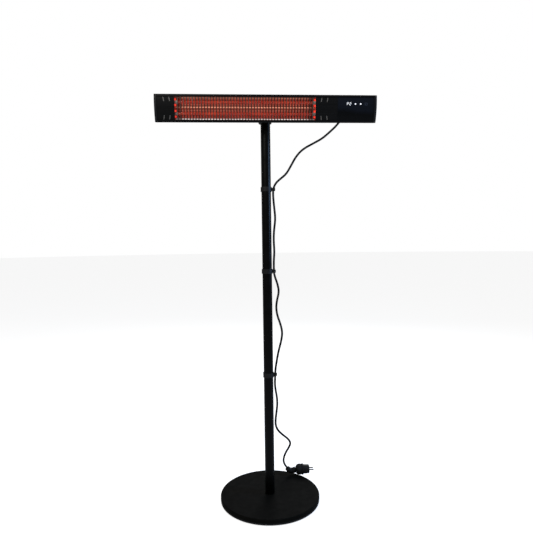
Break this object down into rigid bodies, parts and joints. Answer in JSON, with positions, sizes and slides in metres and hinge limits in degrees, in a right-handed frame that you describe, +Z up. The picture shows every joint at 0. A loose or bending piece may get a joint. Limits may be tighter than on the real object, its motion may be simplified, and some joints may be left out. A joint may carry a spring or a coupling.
{
  "type": "patio heater",
  "caption": "Free-standing infrared patio heater: a long tilting head with twin quartz lamps behind a rod grille, on a three-part round pole with a weighted round base.",
  "frame": {"origin": "centre of the base's underside, on the pole's axis, on the floor", "axes": "+Z up along the pole, +X along the head towards its control end, the head shines towards -Y"},
  "size_m": [0.829, 0.4, 1.5977],
  "materials": {
    "black_paint": "fine powder coat, satin",
    "tube_paint": "smooth satin black paint",
    "black_aluminium": "black anodised, satin",
    "polished_aluminium": "bright rolled reflector sheet",
    "galvanised": "plain sheet",
    "steel": "zinc plated",
    "steel_rod": "bright drawn wire",
    "black_steel": "black powder coat",
    "black_plastic": "fine-textured moulded plastic",
    "gloss_black": "smooth gloss, touch surface",
    "green_board": "coated circuit board",
    "relay_plastic": "moulded plastic",
    "white_plastic": "translucent moulded plastic",
    "black_rubber": "satin rubber",
    "concrete": "cast concrete",
    "ceramic": "unglazed white ceramic",
    "quartz": "clear quartz",
    "filament": "coiled carbon-fibre element",
    "brass": "machined",
    "nickel": "nickel plated"
  },
  "bodies": {
    "stand": {"base_bottom": "black_plastic", "base_ballast": "concrete", "base_cover": "black_paint", "base_feet": "black_rubber", "base_bolt": "steel", "pole_foot": "black_steel", "pole_lower": "tube_paint", "pole_middle": "tube_paint", "pole_upper": "tube_paint", "pole_joint_lower": "galvanised", "pole_joint_upper": "galvanised", "pole_joint_screws": "steel", "pole_top_plug": "steel", "cord_clip_upper": "black_plastic", "cord_clip_middle": "black_plastic", "cord_clip_lower": "black_plastic", "stand_bracket": "black_steel", "stand_bolt": "steel", "hinge_bolt": "steel", "hinge_washers": "steel", "mains_cord": "black_rubber", "plug_boot": "black_rubber", "plug_body": "black_rubber", "plug_pins": "nickel", "plug_earth_contacts": "nickel"},
    "head": {"bay_plates": "galvanised", "cable_gland": "black_plastic", "control_board": "green_board", "control_panel": "gloss_black", "display_module": "white_plastic", "end_cap_gaskets": "black_rubber", "end_cap_left": "black_plastic", "end_cap_right": "black_plastic", "end_cap_screws": "steel", "filaments": "filament", "front_panel": "black_aluminium", "grille": "steel_rod", "head_bracket": "black_steel", "head_bracket_screws": "steel", "head_housing": "black_aluminium", "heat_shield": "galvanised", "hinge_spacer": "steel", "lamp_collars": "ceramic", "lamp_holders": "galvanised", "lamp_leads": "white_plastic", "lamp_tube_lower": "quartz", "lamp_tube_upper": "quartz", "reflector_ends": "polished_aluminium", "reflector_lower": "polished_aluminium", "reflector_upper": "polished_aluminium", "relays": "relay_plastic", "status_leds": "white_plastic", "strain_relief": "black_rubber", "switch_housing": "black_plastic", "terminal_block": "ceramic", "terminal_box": "black_plastic"},
    "knob": {"tilt_knob": "black_plastic", "knob_insert": "brass"},
    "rocker": {"switch_rocker": "gloss_black"}
  },
  "joints": [
    {"name": "head_tilt", "type": "hinge", "parent": "stand", "child": "head", "pos_m": [0, -0.033, 1.557], "axis": [1, 0, 0], "range_deg": [-12, 30]},
    {"name": "knob_turn", "type": "hinge", "parent": "stand", "child": "knob", "pos_m": [0, -0.033, 1.557], "axis": [1, 0, 0], "range_deg": [0, 270]},
    {"name": "switch_rock", "type": "hinge", "parent": "head", "child": "rocker", "pos_m": [0.32, -0.05745, 1.5518], "axis": [1, 0, 0], "range_deg": [0, 16]}
  ]
}
